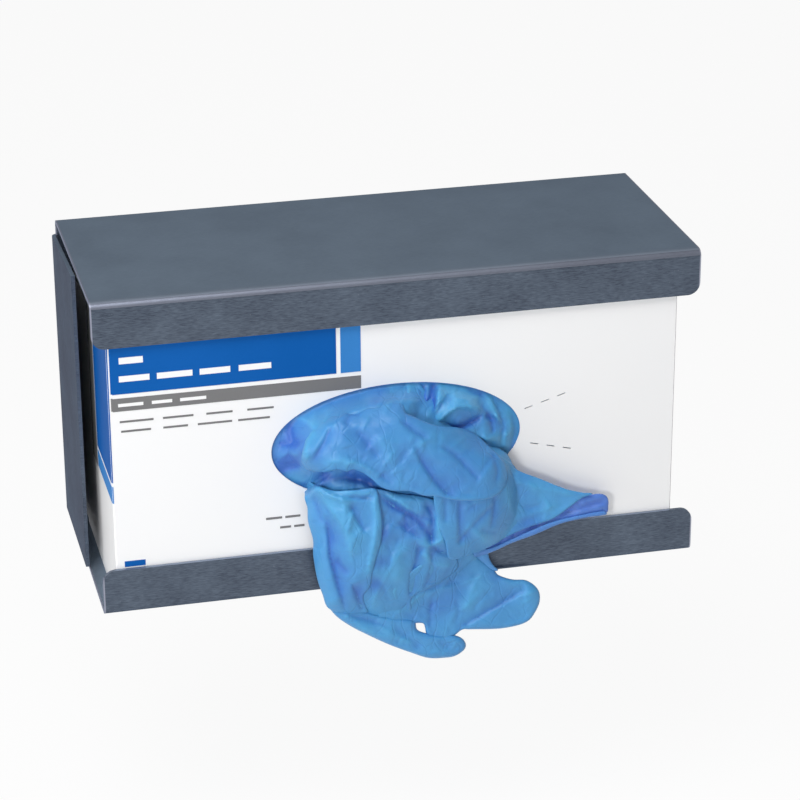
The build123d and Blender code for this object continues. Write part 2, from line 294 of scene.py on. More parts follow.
def offset_ink(name, ink):
    """Offset ink under a thin varnish: even colour with a faint grain from the board under it."""
    material, tree = new_material(name)
    on_object = add_node(tree, "ShaderNodeTexCoord").outputs["Object"]
    grain = noise(tree, on_object, 1100.0, 3.0, 0.6)[0]
    clouds = noise(tree, on_object, 35.0)[0]
    lighter = tuple(min(1.0, c * 1.12 + 0.006) for c in ink)
    darker = tuple(c * 0.88 for c in ink)
    tone = scaled(tree, grain, 0.3, math(tree, "MULTIPLY", clouds, 0.7))
    finish_material(
        tree, Base_Color=mix_colour(tree, tone, rgba(darker), rgba(lighter)),
        Normal=bump(tree, grain, 0.2, 0.02), Roughness=0.6, IOR=1.4, Specular_IOR_Level=0.12,
    )
    return material


def nitrile_film(settings):
    """Dipped nitrile rubber film: matt blue with a soft sheen, with painted shade where it lies in folds and
    hollows.

    Its skin has fine wrinkles of about 1 mm, and the inside of the cuff is more violet.
    """
    made = bpy.data.materials.get("dipped_nitrile_film")
    if made:
        return made
    material, tree = new_material("dipped_nitrile_film")
    on_object = add_node(tree, "ShaderNodeTexCoord").outputs["Object"]
    # The first attribute is painted shade, worked out from the folds and hollows of each layer; the second marks the
    # cuff's inside.
    fold_shade, inside = (
        add_node(tree, "ShaderNodeAttribute", attribute_name=name).outputs["Fac"]
        for name in ("fold_shade", "inside")
    )
    clouds = noise(tree, on_object, 45.0, 4.0, 0.6)[0]
    # Random clouds make the painted shade uneven.
    cloud_share = 0.7
    depth = scaled(tree, math(tree, "SUBTRACT", clouds, 0.5), cloud_share, fold_shade, clamp=True)
    base = mix_colour(tree, depth, rgba(settings.film), rgba(settings.film_in_shade))
    base = mix_colour(tree, inside, base, rgba(settings.film_inside))
    wrinkles = noise(tree, stretched(tree, on_object, (420.0, 420.0, 230.0)), 1.0, 5.0, 0.62)[0]
    # Sharp creases, in runs of about 9 mm, that bend a little and lie where the film was crushed
    warp_share = 0.012
    warped = add_node(
        tree, "ShaderNodeMix", data_type="VECTOR",
        inputs=((0, warp_share), (4, on_object), (5, noise(tree, on_object, 60.0)["Color"])),
    ).outputs[1]
    creases = add_node(
        tree, "ShaderNodeTexVoronoi", feature="DISTANCE_TO_EDGE",
        inputs=(("Vector", stretched(tree, warped, (140.0, 90.0, 75.0))), ("Scale", 1.0)),
    ).outputs["Distance"]
    cloud_limit, rise, crease_reach = 0.38, 4.0, 0.07
    crushed = math(tree, "MULTIPLY", math(tree, "SUBTRACT", clouds, cloud_limit), rise, clamp=True)
    crease_height = math(tree, "MULTIPLY", math(tree, "MINIMUM", creases, crease_reach), crushed)
    finish_material(
        tree, Base_Color=base, Roughness=scaled(tree, wrinkles, 0.16, 0.4),
        Normal=bump(tree, crease_height, 0.42, 6.0, ("Normal", bump(tree, wrinkles, 0.3, 0.25))),
        IOR=1.5, Sheen_Weight=0.05, Sheen_Roughness=0.4, Subsurface_Weight=0.12,
        Subsurface_Radius=(0.4, 0.9, 1.6), Subsurface_Scale=1.2 * MM,
    )
    return material


# ---- Meshes ----

def new_object(name, data):
    thing = bpy.data.objects.new(name, data)
    bpy.context.scene.collection.objects.link(thing)
    return thing


def new_piece(name, points, faces, material, smooth=True, attributes=None):
    """A mesh object at the origin, from points in millimetres."""
    mesh = bpy.data.meshes.new(name)
    mesh.from_pydata((np.asarray(points) * MM).tolist(), [], np.asarray(faces).tolist())
    for key, values in (attributes or {}).items():
        mesh.attributes.new(key, "FLOAT", "POINT").data.foreach_set("value", np.asarray(values, np.float32))
    mesh.materials.append(material)
    if smooth:
        mesh.shade_smooth()
    mesh.update()
    piece = new_object(name, mesh)
    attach(piece, "root")
    return piece


def dress_node(node, material):
    """Gives a node of the frame its finish."""
    for slot in bpy.data.objects[node].material_slots:
        slot.material = material


def new_geometry_group(name, **inputs):
    """A node group with named inputs, each given as its kind and, where it has one, its default.

    Returns the group, the identifiers of its inputs by name, and the sockets that give them.
    """
    tree = bpy.data.node_groups.new(name, "GeometryNodeTree")
    for way in ("INPUT", "OUTPUT"):
        tree.interface.new_socket(name="Geometry", in_out=way, socket_type="NodeSocketGeometry")
    identifiers = {}
    for key, (kind, *default) in inputs.items():
        socket = tree.interface.new_socket(name=key, in_out="INPUT", socket_type="NodeSocket" + kind)
        if default:
            socket.default_value = default[0]
        identifiers[key] = socket.identifier
    return tree, identifiers, add_node(tree, "NodeGroupInput").outputs


def moved(tree, mesh, offset):
    return add_node(
        tree, "GeometryNodeSetPosition", inputs=(("Geometry", mesh), ("Offset", offset))
    ).outputs[0]


def row_of(tree, item, count, step, start, scale):
    """Copies of an item in a row, from its start on, a step apart, each at its own scale."""
    points = add_node(tree, "GeometryNodeMeshLine", inputs=(("Count", count), ("Offset", step))).outputs[0]
    return add_node(
        tree, "GeometryNodeInstanceOnPoints",
        inputs=(("Points", moved(tree, points, start)), ("Instance", item), ("Scale", scale)),
    ).outputs[0]


def realized(tree, instances):
    return add_node(tree, "GeometryNodeRealizeInstances", inputs=((0, instances),)).outputs[0]


def finish_geometry_group(tree, instances, material):
    """Ends a node group: real geometry with its material."""
    inputs = (("Geometry", realized(tree, instances)), ("Material", material))
    done = add_node(tree, "GeometryNodeSetMaterial", inputs=inputs).outputs[0]
    add_node(tree, "NodeGroupOutput", inputs=((0, done),))


def run_group(name, tree, identifiers, slot, **values):
    """Bakes a node group into the mesh of a new piece."""
    piece = new_object(name, bpy.data.meshes.new(name))
    modifier = piece.modifiers.new("nodes", "NODES")
    modifier.node_group = tree
    for key, value in values.items():
        modifier[identifiers[key]] = value
    piece.update_tag()
    bpy.context.view_layer.update()
    depsgraph = bpy.context.evaluated_depsgraph_get()
    mesh = bpy.data.meshes.new_from_object(piece.evaluated_get(depsgraph))
    piece.modifiers.clear()
    piece.data = mesh
    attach(piece, "root")
    return piece


def printed_line_group():
    """A line of text, plainly drawn as a row of bars of uneven length, standing on the front board."""
    tree, identifiers, given = new_geometry_group(
        "printed_line", Start=("Vector",), Length=("Float", 0.06), Height=("Float", 0.002),
        Relief=("Float", 0.0001), Words=("Int", 4), Seed=("Int", 1), Material=("Material",),
    )
    pitch = math(tree, "DIVIDE", given["Length"], given["Words"])
    half_pitch = combined(tree, X=math(tree, "MULTIPLY", pitch, 0.5))
    # Word lengths between 62 and 88% of the pitch
    share = add_node(
        tree, "FunctionNodeRandomValue", data_type="FLOAT",
        inputs=((2, 0.62), (3, 0.88), ("Seed", given["Seed"])),
    ).outputs[1]
    size = combined(tree, X=math(tree, "MULTIPLY", pitch, share), Y=given["Relief"], Z=given["Height"])
    bar = add_node(tree, "GeometryNodeMeshCube", inputs=(("Size", (1.0, 1.0, 1.0)),)).outputs[0]
    start = vector_math(tree, "ADD", given["Start"], half_pitch)
    bars = row_of(tree, bar, given["Words"], combined(tree, X=pitch), start, size)
    finish_geometry_group(tree, bars, given["Material"])
    return tree, identifiers


def folded_layers_group():
    """Folded gloves that lie behind each other in the carton: soft slabs with uneven, rounded faces."""
    tree, identifiers, given = new_geometry_group(
        "folded_layers", Layers=("Int", 22), Size=("Vector",), Middle=("Vector",),
        Unevenness=("Float", 0.0009), Seed=("Int", 3), Material=("Material",),
    )
    size = separated(tree, given["Size"])
    pitch = math(tree, "DIVIDE", size[1], given["Layers"])
    # The slabs stay a little clear of each other and of the carton.
    shares = (0.985, 0.8, 0.975)
    room = combined(tree, X=size[0], Y=pitch, Z=size[2])
    slab_size = vector_math(tree, "MULTIPLY", room, shares)
    slab = add_node(
        tree, "GeometryNodeMeshCube",
        inputs=(("Size", slab_size), ("Vertices X", 16), ("Vertices Y", 2), ("Vertices Z", 9)),
    ).outputs[0]
    first = combined(tree, Y=math(tree, "MULTIPLY", math(tree, "SUBTRACT", size[1], pitch), -0.5))
    shrink = add_node(
        tree, "FunctionNodeRandomValue", data_type="FLOAT_VECTOR",
        inputs=((0, (0.965, 0.9, 0.96)), (1, (1.0, 1.0, 1.0)), ("Seed", given["Seed"])),
    ).outputs[0]
    start = vector_math(tree, "ADD", given["Middle"], first)
    slabs = realized(tree, row_of(tree, slab, given["Layers"], combined(tree, Y=pitch), start, shrink))
    position = add_node(tree, "GeometryNodeInputPosition").outputs[0]
    # Waves of about 17 mm
    waves = vector_math(tree, "SUBTRACT", noise(tree, position, 60.0)["Color"], (0.5, 0.5, 0.5))
    offset = add_node(
        tree, "ShaderNodeVectorMath", operation="SCALE",
        inputs=((0, waves), ("Scale", given["Unevenness"])),
    ).outputs[0]
    finish_geometry_group(tree, moved(tree, slabs, offset), given["Material"])
    return tree, identifiers


# ---- Film modelling ----
# The layers of a crumpled glove are drawn flat, in millimetres, on an upright plane just in front
# of the lip. Each point is then brought to its depth along its line to the eye.

EYE = np.array((-243.5, -1106.2, 452.1))
DRAWING_Y = -106.0


def to_depth(flat, y):
    """Points of the drawing plane, given as X and Z, brought to depth y along the line to the eye."""
    on_plane = np.column_stack((flat[:, 0], np.full(len(flat), DRAWING_Y), flat[:, 1]))
    share = (y - EYE[1]) / (DRAWING_Y - EYE[1])
    return EYE + (on_plane - EYE) * share[:, None]


def smooth_step(start, end, value):
    share = np.clip((value - start) / (end - start), 0, 1)
    return share * share * (3 - 2 * share)


def smooth_line(points, step, closed):
    """A smooth curve through points, cut at even steps."""
    p = np.array(points, float)
    t = np.linspace(0, 1, 12, endpoint=False)[:, None]
    runs = []
    for i in range(len(p) if closed else len(p) - 1):
        a, b, c, d = (p[k % len(p) if closed else min(max(k, 0), len(p) - 1)] for k in range(i - 1, i + 3))
        runs.append(
            0.5 * (2 * b + (c - a) * t + (2 * a - 5 * b + 4 * c - d) * t ** 2 + (3 * b - a - 3 * c + d) * t ** 3)
        )
    fine = np.vstack(runs + [p[:1] if closed else p[-1:]])
    run = np.concatenate(([0], np.cumsum(np.linalg.norm(np.diff(fine, axis=0), axis=1))))
    steps = max(int(round(run[-1] / step)), 3)
    places = np.linspace(0, run[-1], steps if closed else steps + 1, endpoint=not closed)
    return np.column_stack([np.interp(places, run, fine[:, k]) for k in (0, 1)])


def nearest_on(points, line, closed=False):
    """How far each point lies from a line, on which side, and at which share of the line."""
    start, end = (line, np.roll(line, -1, axis=0)) if closed else (line[:-1], line[1:])
    step = end - start
    away = points[:, None, :] - start[None]
    t = np.clip((away * step).sum(-1) / (step * step).sum(-1), 0, 1)
    gap = np.linalg.norm(away - t[..., None] * step, axis=-1)
    index = gap.argmin(axis=1)
    rows = np.arange(len(points))
    side = np.sign(step[index, 0] * away[rows, index, 1] - step[index, 1] * away[rows, index, 0])
    return gap[rows, index], side, (index + t[rows, index]) / len(start)


def inside_of(points, line):
    """Which points lie inside a closed line."""
    x, y = points[:, 0][:, None], points[:, 1][:, None]
    ax, ay = line[:, 0][None], line[:, 1][None]
    bx, by = np.roll(line[:, 0], -1)[None], np.roll(line[:, 1], -1)[None]
    crosses = (ay > y) != (by > y)
    with np.errstate(divide="ignore", invalid="ignore"):
        left = x < (bx - ax) * (y - ay) / (by - ay) + ax
    return (crosses & left).sum(axis=1) % 2 == 1


def fold(height, width, *line):
    """A fold along a line: a crest where height is above 0, a furrow where it is below."""
    return line, height, width, False


def pleat(height, width, *line):
    """A fold that falls off steeply on one side, as a film does that is folded over itself."""
    return line, height, width, True


def crease(points, line, height, width, one_sided):
    """The height that a fold or a pleat gives to each point. It runs out near the line's ends."""
    gap, side, along = nearest_on(points, smooth_line(line, 1.0, False))
    taper = np.clip(np.minimum(along, 1 - along) * 6, 0, 1) ** 0.6
    if one_sided:
        gentle, steep = 2.6, 0.5
        return height * np.exp(-gap / np.where(side > 0, width * gentle, width * steep)) * taper
    return height * np.exp(-((gap / width) ** 1.15)) * taper


def crumple(points, cell, height, stretch, turn, seed):
    """Film crushed into flat facets that meet in sharp creases, longer one way than the other."""
    random = np.random.default_rng(seed)
    size = 64
    table = random.uniform(-1, 1, (size, size))
    split = random.uniform(0, 1, (size, size)) < 0.5
    spin = np.array(((np.cos(turn), -np.sin(turn)), (np.sin(turn), np.cos(turn))))
    q = points @ spin / (cell, cell * stretch)
    # Two bends, one wide and one narrow, so that the creases don't lie on a grid
    q = q + 0.3 * np.sin(q[:, ::-1] * 1.7 + random.uniform(0, 6, 2)) + 0.12 * np.sin(q[:, ::-1] * 4.3)
    corner = np.floor(q).astype(int)
    fx, fz = (q - corner).T
    i, k = corner.T % size
    j, m = (i + 1) % size, (k + 1) % size
    h00, h10, h01, h11 = table[i, k], table[j, k], table[i, m], table[j, m]
    rising = np.where(
        fx > fz, h00 + (h10 - h00) * fx + (h11 - h10) * fz, h00 + (h01 - h00) * fz + (h11 - h01) * fx
    )
    falling = np.where(
        fx + fz < 1, h00 + (h10 - h00) * fx + (h01 - h00) * fz,
        h11 + (h01 - h11) * (1 - fx) + (h10 - h11) * (1 - fz),
    )
    return height * np.where(split[i, k], rising, falling)


def fine_creases(points, low, high, count, turn, seed):
    """Straight fine wrinkles, mostly along one direction: half of them crests and half furrows."""
    random = np.random.default_rng(seed)
    height = np.zeros(len(points))
    for index in range(count):
        middle = random.uniform(low, high)
        angle = turn + random.normal(0, 0.45)
        reach = random.uniform(3.5, 11.0) * np.array((np.sin(angle), np.cos(angle)))
        bend = random.normal(0, 0.9, 2)
        line = (middle - reach, middle + bend, middle + reach)
        size = random.uniform(0.25, 0.6) * (1 if index % 2 else -1)
        height += crease(points, line, size, random.uniform(0.5, 0.9), index % 3 == 0)
    return height


def flat_mesh(rim, radius, step):
    """Points and triangles that fill a rim, with rings close to it, so that its rounding is smooth."""
    ahead = np.roll(rim, -1, axis=0) - np.roll(rim, 1, axis=0)
    inward = np.column_stack((-ahead[:, 1], ahead[:, 0]))
    inward /= np.linalg.norm(inward, axis=1)[:, None] + 1e-9
    area = 0.5 * np.sum(rim[:, 0] * np.roll(rim[:, 1], -1) - np.roll(rim[:, 0], -1) * rim[:, 1])
    inward *= np.sign(area)
    groups = [rim]
    for ring in (0.3 * radius, 0.9 * radius):
        candidate = rim + inward * ring
        gap, _, _ = nearest_on(candidate, rim, closed=True)
        groups.append(candidate[(gap > 0.85 * ring) & inside_of(candidate, rim)])
    low, high = rim.min(axis=0), rim.max(axis=0)
    # Rows of almost equilateral triangles
    rows = np.arange(low[1], high[1], step * 0.87)
    grid = np.array([
        (x + (k % 2) * step / 2, z) for k, z in enumerate(rows) for x in np.arange(low[0], high[0], step)
    ])
    grid = grid[inside_of(grid, rim)]
    gap, _, _ = nearest_on(grid, rim, closed=True)
    groups.append(grid[gap > 0.9 * radius + step * 0.6])
    points = [Vector(p) for p in np.vstack(groups)]
    corners, _, faces, *_ = geometry.delaunay_2d_cdt(points, [], [list(range(len(rim)))], 1, 1e-6)
    flat = np.array([(v.x, v.y) for v in corners])
    triangles = np.array([face for face in faces if len(face) == 3])
    a, b, c = (flat[triangles[:, k]] for k in range(3))
    turned = (b[:, 0] - a[:, 0]) * (c[:, 1] - a[:, 1]) - (b[:, 1] - a[:, 1]) * (c[:, 0] - a[:, 0]) < 0
    triangles[turned] = triangles[turned][:, ::-1]
    return flat, triangles


def film_sheet(outline, depth, folds, settings, seed, edge_radius, inside=0.0, back=None,
               shade=(), rough=1.0, stretch=1.6, turn=0.0):
    """One folded layer of film: a closed thin cushion over an outline.

    depth gives the Y of its middle from flat points and their distance to the edge. edge_radius is
    half its thickness there. back gives the Y of its rear side where that isn't one film behind the
    front, and shade lists (X, Z, radius, strength) of hollows that get painted shade.
    Returns points, triangles, and the painted fold shade and inside values of the points.
    """
    step = settings.mesh_step / MM
    rim = smooth_line(outline, step * 0.8, True)
    flat, triangles = flat_mesh(rim, edge_radius, step)
    gap, _, _ = nearest_on(flat, rim, closed=True)
    away = smooth_step(0.0, 3.0, gap)
    drawn = np.zeros(len(flat))
    for drawn_fold in folds:
        drawn += crease(flat, *drawn_fold)
    low, high = rim.min(axis=0), rim.max(axis=0)
    count = int(settings.wrinkles * (high - low).prod() / 1000 * rough)
    drawn += away * fine_creases(flat, low, high, count, turn, seed + 7)
    relief = drawn.copy()
    cell = settings.crumple_size / MM
    height = settings.crumple_height / MM * rough
    # Crumples of three sizes: their share of the size and of the height, their stretch and turn
    crumples = ((1.0, 1.0, stretch, 0.0), (0.5, 0.42, stretch, 0.6), (0.24, 0.13, 1.0, -0.4))
    for k, (share, height_share, longer, more_turn) in enumerate(crumples):
        relief += away * crumple(
            flat, cell * share, height * height_share, longer, turn + more_turn, seed + k
        )
    at_edge = 0.35
    relief *= at_edge + (1 - at_edge) * smooth_step(0, 2.5, gap)
    relief *= clear_of_board(flat)
    half = edge_radius * np.sqrt(1 - (1 - np.clip(gap / edge_radius, 0, 1)) ** 2)
    middle = depth(flat, gap) - relief
    front_y, back_y = middle - half, middle + half
    if back is not None:
        back_y += (np.maximum(back(flat, front_y), back_y) - back_y) * smooth_step(0, 6, gap)
    # Painted shade and highlight: furrows are darker and crests paler, in full at these heights of folds and of
    # crumples.
    plain, fold_height, crumple_height = 0.24, 3.6, 10
    fold_shade = plain - drawn / fold_height - (relief - drawn) / crumple_height
    # Painted shade in the listed hollows
    for x, z, reach, strength in shade:
        fold_shade = fold_shade + strength * np.exp(-((np.linalg.norm(flat - (x, z), axis=1) / reach) ** 2))
    # The front and the rear share the points of the rim.
    keep = np.flatnonzero(gap >= 1e-4)
    rear_index = np.arange(len(flat))
    rear_index[keep] = len(flat) + np.arange(len(keep))
    points = np.vstack((to_depth(flat, front_y), to_depth(flat, back_y)[keep]))
    faces = np.vstack((triangles, rear_index[triangles][:, ::-1]))
    fold_shade = np.concatenate((fold_shade, fold_shade[keep]))
    return points, faces, np.clip(fold_shade, 0, 1), np.full(len(points), inside)


def join_sheets(name, sheets, settings):
    """All layers of a glove as one piece."""
    points, faces, fold_shade, inside = zip(*sheets)
    starts = np.cumsum([0] + [len(sheet) for sheet in points])
    faces = [sheet + start for sheet, start in zip(faces, starts)]
    return new_piece(
        name, np.vstack(points), np.vstack(faces), nitrile_film(settings),
        attributes={"fold_shade": np.concatenate(fold_shade), "inside": np.concatenate(inside)},
    )


# The oval mouth's middle and half sizes, in X and Z, as they appear on the drawing plane
MOUTH_MIDDLE = (-4.07, -0.22)
MOUTH_HALF = (49.6, 24.06)
# Depth behind the board at the mouth's edge
TUCKED_Y = -96.3
# Levels and depths: the film that hangs in front of the lip, and the crown of the glove's body
HANGING = ((-100, -60, -30, 0), (-103.2, -102.6, -101.6, -101.0))
BODY_CROWN = (
    (-100, -85, -70, -55, -40, -25, -10, 0, 10, 20),
    (-105.5, -107.5, -110, -113, -115, -115.3, -114.8, -113.8, -112.5, -111),
)


def inside_mouth(flat):
    """0 on the mouth's edge, 1 at its middle."""
    return 1 - np.hypot(*((flat - MOUTH_MIDDLE) / MOUTH_HALF).T)


def hanging_share(flat):
    """1 where the film hangs in front of the carton, 0 where the mouth's edge still holds it in."""
    x, z = flat.T
    # At the far left the mouth's edge holds the film back longest
    start = np.interp(x, (-44, -40, -32, -14), (-18.3, -16.5, -8, 2))
    left = smooth_step(start, start - np.interp(x, (-44, -36), (2.5, 5)), z)
    above_flap = z - (10 - 0.43 * (x + 1))
    right = smooth_step(7, 1, above_flap)
    return left + (right - left) * smooth_step(-14, 8, x)


def out_share(flat):
    """How far the film has come forward: 0 behind the board, 1 clear of the mouth."""
    return np.maximum(hanging_share(flat), smooth_step(0.0, 0.36, inside_mouth(flat)))


def clear_of_board(flat):
    """How much relief the film may carry: none where the board's edge holds it."""
    return np.maximum(hanging_share(flat), smooth_step(0.0, 0.14, inside_mouth(flat)))


def mouth_arc(start, end, beyond=2.4, count=16):
    """Points that follow the mouth's edge, a little beyond it, between two angles in degrees."""
    t = np.radians(np.linspace(start, end, count))
    middle_x, middle_z = MOUTH_MIDDLE
    half_x, half_z = MOUTH_HALF
    x = middle_x + (half_x + beyond) * np.cos(t)
    z = middle_z + (half_z + beyond) * np.sin(t)
    return tuple(zip(x, z))


BODY_OUTLINE = (
    *mouth_arc(82, 213), (-43.2, -16.4), (-40.4, -19.4), (-39.5, -25), (-39.2, -31), (-37.6, -39), (-37.5, -46),
    (-36, -56), (-34, -63), (-32, -69), (-25.5, -72), (-17, -73), (-9.5, -76), (2, -76), (10, -70), (19.5, -62),
    (29, -54), (38, -48), (44, -38), (44.5, -24), (40.5, -11), (30, -3.5), (20, 6), (8, 19),
)


def body_depth(flat, gap_to_body):
    """The depth of the glove's body, which swells away from its outline."""
    crown = np.interp(flat[:, 1], *BODY_CROWN)
    hanging = np.interp(flat[:, 1], *HANGING)
    out = out_share(flat)
    swell = (crown - hanging) * (1 - np.exp(-gap_to_body / 7.0))
    return TUCKED_Y + (hanging + swell - TUCKED_Y) * out


def gap_in_body(flat, body_rim):
    """How far each point lies inside the glove's body, 0 outside it."""
    gap, _, _ = nearest_on(flat, body_rim, closed=True)
    return np.where(inside_of(flat, body_rim), gap, 0)


def pulled_glove_sheets(settings):
    """The layers of the glove that hangs out of the mouth, from the rearmost to the foremost."""
    rim = smooth_line(BODY_OUTLINE, 1.0, True)
    sheets = []

    def limb(stand_off, on_body):
        """A limb stands off the lip, and tucks under the body's other layers where it meets them."""
        def lift(flat):
            return stand_off + (on_body - stand_off) * smooth_step(0, 3.5, gap_in_body(flat, rim))
        return lift

    def add(outline, lift, folds, seed, **options):
        """A layer on the glove's body. lift gives how many millimetres it lies in front of it."""
        def depth(flat, gap):
            forward = lift(flat) if callable(lift) else lift
            return body_depth(flat, gap_in_body(flat, rim)) - forward * out_share(flat)
        sheets.append(film_sheet(outline, depth, folds, settings, seed, **options))

    # Lowest finger, behind the hem
    add((
        (-33, -67), (-29.5, -69), (-23.5, -71), (-17.5, -72.5), (-10.5, -75.5), (-3, -77.5), (2.6, -79.2),
        (3.9, -83.6), (8.5, -86), (14, -87.5), (19, -88), (22.5, -90), (24, -93), (23, -95.5), (19.5, -97.5),
        (15.5, -97.8), (8.5, -97), (1, -93.5), (-7.5, -89), (-15.5, -84), (-23.5, -78.5), (-29.5, -73),
    ), limb(2.2, 1.2), (
        fold(-1.2, 1.4, (-31, -68.5), (-23.5, -73.5), (-14.5, -77.5), (-8, -81)),
        pleat(1.0, 1.6, (-13.5, -78), (-6.5, -85), (3, -90.5)),
        fold(-0.9, 1.2, (-5.5, -81.5), (1.5, -88), (5, -93)),
        fold(0.8, 1.6, (-27.5, -71.5), (-17, -81), (-4, -87.5)),
        fold(-0.6, 1.2, (12.5, -89.5), (18, -94)),
    ), 11, edge_radius=1.9, rough=0.6, turn=0.9)
    # Rear sheet with the side finger
    add((
        (14, -50), (24, -50), (30.5, -56), (35.5, -61), (37.5, -63.5), (43, -66), (48.5, -67), (52.5, -70),
        (54.5, -73.5), (54.5, -78), (52.5, -82.5), (50, -85.5), (45.5, -87), (37.5, -87.5), (26, -86.3), (22.5, -86),
        (19.5, -88), (15.5, -89.5), (10, -89), (7.6, -86), (7, -83), (6, -81), (1.3, -80.7), (-5.5, -81.6),
        (-11, -80), (-12, -68), (0, -58),
    ), limb(2.4, 0.7), (
        pleat(-1.5, 1.0, (20, -86), (31.5, -80), (49, -71.3)),
        fold(-0.9, 1.0, (9.8, -70), (8.8, -84)),
        fold(0.8, 2.4, (29, -62.5), (23.5, -78)),
        pleat(1.0, 1.6, (20.5, -65.5), (5, -68.5), (-1, -75)),
        fold(0.5, 1.5, (38, -65.5), (46.5, -70.5)),
    ), 23, edge_radius=1.2, rough=0.55, turn=0.5, shade=((14, -70, 9, 0.35), (36, -62, 5, 0.3)))
    # Cuff: its rear film and rolled rim show their inside
    add((
        (37.5, -13), (44.5, -19), (54, -24.5), (64, -29.5), (73, -32), (79.5, -32.5), (82.2, -34.5), (82.6, -38),
        (81.5, -41.3), (73.5, -41.3), (62.5, -43), (52, -46.5), (43, -49.3), (36.5, -52), (29.5, -52.5),
        (25.5, -44.5), (33.5, -25.5),
    ), limb(2.4, 0.2), (
        pleat(0.9, 0.7, (70, -36.5), (76, -34.8), (81.5, -34)),
        pleat(-1.0, 0.8, (62, -40), (72, -38), (82, -36)),
        pleat(0.9, 0.7, (66, -40.5), (75, -39.6), (82, -38.4)),
        fold(-0.9, 1.4, (48, -44), (62, -38.5), (70, -33.5)),
    ), 31, edge_radius=0.8, inside=0.7, rough=0.5, turn=0.3)
    add((
        (25.5, -53.2), (36, -50.3), (43, -47.8), (52, -44.6), (59, -42.4), (68.5, -41), (79, -40.1), (81.6, -40.6),
        (81.4, -42), (73, -42.3), (62.5, -43.8), (52.5, -47.2), (43, -49.8), (36, -52.4), (29.5, -54.2),
    ), limb(3.4, 0.6), (
        fold(0.5, 0.5, (30, -53.2), (43, -48.8), (58, -43.4), (78, -41)),
    ), 37, edge_radius=0.7, inside=0.45, rough=0.1)
    # Cuff: its front film
    add((
        (34, -9), (44.5, -18), (54, -23), (64, -28.3), (71.5, -31), (76, -32), (71.5, -33.5), (67, -36.5),
        (59.5, -41.2), (50, -43.7), (41.5, -46.5), (33.5, -49.5), (25.5, -44.5), (27, -21),
    ), limb(4.2, 1.2), (
        fold(0.9, 2.2, (42, -22), (56, -28), (70, -32)),
        fold(-0.6, 1.6, (44, -34), (56, -36)),
        pleat(0.6, 1.4, (43, -40), (52, -38), (62, -35)),
    ), 41, edge_radius=0.7, rough=0.35, turn=-0.4, shade=((49, -44, 6, 0.45), (47, -24, 5, 0.3)))
    # The fold that sticks out under the cuff
    add((
        (26, -50), (32, -50.5), (33.5, -55.5), (35.2, -58.8), (37.3, -61.3), (34.5, -61), (31.2, -58), (28, -54.5),
    ), 2.8, (pleat(0.7, 0.8, (29.5, -53), (33, -58), (38.5, -61.3)),), 43, edge_radius=0.6, rough=0.2, inside=0.25)
    # Body
    def body_back(flat, front_y):
        hanging = np.interp(flat[:, 1], *HANGING)
        at_edge = TUCKED_Y + (hanging - TUCKED_Y) * out_share(flat) + 0.6
        return np.minimum(at_edge, front_y + 7)

    sheets.append(film_sheet(
        BODY_OUTLINE, body_depth,
        (
            # Hollow lobe on the left of the mouth
            fold(-2.2, 1.5, (-46.5, 13), (-45.5, 5), (-42.5, 1.5)),
            pleat(2.0, 1.2, (-50, 9), (-46, 13.5), (-42, 13), (-38, 10.3), (-36.5, 7.5)),
            fold(-2.2, 1.4, (-53, -8.5), (-46, -6.5), (-42, -6.5)),
            pleat(1.6, 1.3, (-52, -3), (-47, -1), (-43, -3)),
            fold(-1.4, 1.0, (-51, 4), (-47, 3), (-44, 4.5)),
            pleat(1.3, 1.3, (-50, -10), (-42, -13), (-36, -14.5)),
            # Drawn-in neck
            fold(-1.6, 2.2, (-36, -12.5), (-28, -13.5), (-20, -14.5), (-12, -17.5)),
            fold(-1.4, 1.5, (-24, -14), (-16, -17), (-6, -24)),
        ),
        settings, 53, edge_radius=0.75, back=body_back, rough=1.0, stretch=1.5, turn=0.2,
        shade=(
            (-45, 3, 8, 0.6), (-49, -5, 6, 0.5), (-33, -12.5, 4, 0.45), (-22, -12.5, 4, 0.45),
            (-14, -15.5, 4, 0.35), (-42, -16, 2.5, 0.4), (0, -29, 8, 0.2), (20, -58, 7, 0.3),
            (-40, 16, 8, 0.35), (-27, 20, 9, 0.35), (-12, 23, 9, 0.35),
        ),
    ))
